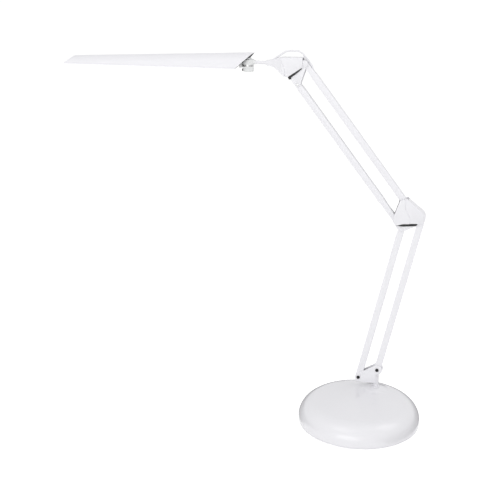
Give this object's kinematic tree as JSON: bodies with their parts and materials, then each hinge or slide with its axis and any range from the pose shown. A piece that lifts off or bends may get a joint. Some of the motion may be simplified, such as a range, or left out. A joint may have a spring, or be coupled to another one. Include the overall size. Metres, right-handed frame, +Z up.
{
  "type": "led desk lamp",
  "caption": "White jointed desk lamp: round weighted base, two pairs of parallel arms with hooded joints, and a long tapered flat-underside head on a swivelling neck.",
  "frame": {"origin": "bottom centre of the round base, on the surface it stands on", "axes": "+Z up; the head reaches towards -X; +Y points to the back, the side of the base where the swivel post and the power inlet are"},
  "size_m": [0.7381, 0.24, 0.7205],
  "materials": {
    "white_gloss": "gloss",
    "white_paint": "satin",
    "white_plastic": "satin",
    "grey_plastic": "satin",
    "dark_rubber": "matte",
    "iron": "matte",
    "steel": "satin",
    "dark_steel": "satin",
    "white_steel": "satin",
    "black_plastic": "satin",
    "lead_sheath": "satin",
    "light_metal": "satin",
    "board_white": "satin",
    "chip_yellow": "satin",
    "opal": "satin"
  },
  "bodies": {
    "base": {"base_cover": "white_gloss", "base_weight": "iron", "base_plate": "steel", "base_pad": "dark_rubber", "base_screw_1": "steel", "base_screw_2": "steel", "base_screw_3": "steel", "socket_bush": "white_plastic", "power_inlet": "black_plastic", "base_lead": "lead_sheath"},
    "bracket": {"lower_bracket": "white_paint", "swivel_pin": "white_steel", "swivel_clip": "steel", "swivel_washer": "white_plastic", "foot_pin_inner": "dark_steel", "foot_pin_outer": "dark_steel", "foot_lead": "lead_sheath"},
    "lower_inner_arm": {"lower_inner_bar": "white_paint"},
    "lower_outer_arm": {"lower_outer_bar": "white_paint", "lower_lead": "lead_sheath"},
    "elbow": {"elbow_plate_front": "white_paint", "elbow_plate_back": "white_paint", "elbow_hood": "white_plastic", "elbow_spacer": "black_plastic", "elbow_pin_a": "white_steel", "elbow_pin_b": "dark_steel", "elbow_pin_c": "dark_steel", "elbow_pin_d": "dark_steel", "elbow_lead_upper": "lead_sheath", "elbow_lead_lower": "lead_sheath"},
    "upper_inner_arm": {"upper_inner_bar": "white_paint"},
    "upper_outer_arm": {"upper_outer_bar": "white_paint", "upper_lead": "lead_sheath"},
    "head_link": {"head_plate_front": "white_paint", "head_plate_back": "white_paint", "head_hood": "white_plastic", "head_spacer": "black_plastic", "head_pin_e": "steel", "head_pin_f": "white_steel"},
    "neck": {"neck_rod": "white_paint", "neck_collar": "steel", "neck_knuckle": "grey_plastic", "neck_lead": "lead_sheath", "head_lead": "lead_sheath"},
    "head": {"head_shade": "white_paint", "head_end_cap": "black_plastic", "head_clevis": "grey_plastic", "head_swivel_pin": "steel", "swivel_disc": "steel", "led_carrier": "light_metal", "led_board": "board_white", "led_chips": "chip_yellow", "diffuser": "opal", "switch_housing": "grey_plastic"},
    "button": {"switch_button": "black_plastic"}
  },
  "joints": [
    {"name": "base_swivel", "type": "hinge", "parent": "base", "child": "bracket", "pos_m": [0.0246, 0.058, 0.0498], "axis": [0, 0, 1], "range_deg": [-150, 150]},
    {"name": "lower_arm", "type": "hinge", "parent": "bracket", "child": "lower_outer_arm", "pos_m": [0.0265, 0.058, 0.089], "axis": [0, 1, 0], "range_deg": [-45, 22], "deforming": ["foot_lead"]},
    {"name": "lower_arm_inner", "type": "hinge", "parent": "bracket", "child": "lower_inner_arm", "pos_m": [-0.011, 0.058, 0.069], "axis": [0, 1, 0], "range_deg": [-45, 22]},
    {"name": "elbow_level", "type": "hinge", "parent": "lower_outer_arm", "child": "elbow", "pos_m": [0.09811, 0.058, 0.40858], "axis": [0, 1, 0], "range_deg": [-22, 45], "deforming": ["elbow_lead_lower"]},
    {"name": "upper_arm", "type": "hinge", "parent": "elbow", "child": "upper_outer_arm", "pos_m": [0.06351, 0.058, 0.44398], "axis": [0, 1, 0], "range_deg": [-55, 32], "deforming": ["elbow_lead_upper"]},
    {"name": "upper_arm_inner", "type": "hinge", "parent": "elbow", "child": "upper_inner_arm", "pos_m": [0.05001, 0.058, 0.40398], "axis": [0, 1, 0], "range_deg": [-55, 32]},
    {"name": "head_level", "type": "hinge", "parent": "upper_outer_arm", "child": "head_link", "pos_m": [-0.13306, 0.058, 0.69648], "axis": [0, 1, 0], "range_deg": [-32, 55], "deforming": ["head_lead"]},
    {"name": "neck_roll", "type": "hinge", "parent": "head_link", "child": "neck", "pos_m": [-0.19906, 0.058, 0.69498], "axis": [1, 0, 0], "range_deg": [-45, 45], "deforming": ["head_lead"]},
    {"name": "head_swivel", "type": "hinge", "parent": "neck", "child": "head", "pos_m": [-0.24356, 0.058, 0.69498], "axis": [0, 0, 1], "range_deg": [-60, 60]},
    {"name": "switch_press", "type": "slide", "parent": "head", "child": "button", "axis": [1, 0, 0], "range_m": [0, 0.001], "stiffness_N_per_m": 600}
  ],
  "couplings": [
    {"joint": "lower_arm_inner", "follows": "lower_arm", "ratio": 1},
    {"joint": "elbow_level", "follows": "lower_arm", "ratio": -1},
    {"joint": "upper_arm_inner", "follows": "upper_arm", "ratio": 1},
    {"joint": "head_level", "follows": "upper_arm", "ratio": -1}
  ]
}
